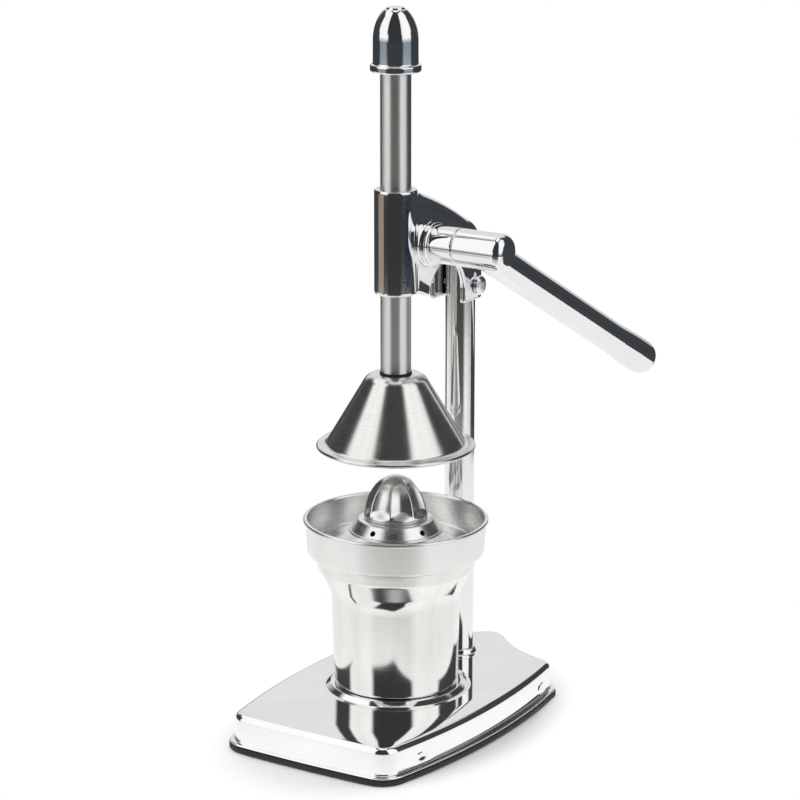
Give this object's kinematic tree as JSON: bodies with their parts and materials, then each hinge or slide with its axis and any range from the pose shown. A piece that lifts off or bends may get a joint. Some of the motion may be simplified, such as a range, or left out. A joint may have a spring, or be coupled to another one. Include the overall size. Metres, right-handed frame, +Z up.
{
  "type": "lever citrus juice press",
  "caption": "Free-standing hand press for citrus fruit: a side lever turns a pinion that drives a rack rod and a cone-shaped bell down onto a reamer over a cup.",
  "frame": {"origin": "on the axis of the press rod, in the flat underside of the rubber mat that it stands on", "axes": "+Z up along the press rod, -Y to the front, +X to the side that carries the lever"},
  "size_m": [0.146, 0.3339, 0.4555],
  "materials": {
    "chrome": "bright chrome plate over cast and pressed metal",
    "satin": "ground and plated steel rod with a fine satin grain",
    "brushed": "stainless sheet with a fine turned grain",
    "polished": "mirror-polished stainless sheet",
    "steel": "plain turned steel",
    "bronze": "plain bronze bush",
    "dark": "blackened steel",
    "rubber": "matt black rubber"
  },
  "bodies": {
    "stand": {"base_shell": "chrome", "bottom_plate": "dark", "rubber_mat": "rubber", "column_tube": "chrome", "column_plug": "steel", "column_washer": "steel", "column_bolt": "steel", "head_casting": "chrome", "clamp_screw": "chrome", "clamp_nut": "steel", "boss_bush": "bronze", "far_bush": "bronze"},
    "crank": {"pivot_shaft": "steel", "pinion_gear": "steel", "pinion_pin": "steel", "shaft_washer": "steel", "shaft_circlip": "steel", "lever": "chrome", "lever_set_screw": "dark"},
    "plunger": {"rack_rod": "satin", "rod_cap": "chrome", "cap_stud": "steel", "bell_gasket": "rubber", "bell": "brushed", "bell_washer": "steel", "bell_screw": "steel"},
    "cup": {"juice_cup": "polished"},
    "strainer": {"strainer_bowl": "brushed"},
    "reamer": {"reamer_cone": "brushed"}
  },
  "joints": [
    {"name": "lever_pivot", "type": "hinge", "parent": "stand", "child": "crank", "pos_m": [0, 0.019, 0.3085], "axis": [1, 0, 0], "range_deg": [-46, 229]},
    {"name": "rod_slide", "type": "slide", "parent": "stand", "child": "plunger", "axis": [0, 0, -1], "range_m": [-0.0097, 0.048]},
    {"name": "cup_slide", "type": "slide", "parent": "stand", "child": "cup", "axis": [0, -1, 0], "range_m": [0, 0.12]},
    {"name": "strainer_lift", "type": "slide", "parent": "cup", "child": "strainer", "axis": [0, 0, 1], "range_m": [0, 0.018]},
    {"name": "reamer_lift", "type": "slide", "parent": "strainer", "child": "reamer", "axis": [0, 0, 1], "range_m": [0, 0.018]}
  ],
  "couplings": [
    {"joint": "rod_slide", "follows": "lever_pivot", "m_per_rad": 0.012},
    {"joint": "strainer_lift", "follows": "cup_slide", "ratio": 0.15},
    {"joint": "reamer_lift", "follows": "cup_slide", "ratio": 0.15}
  ]
}
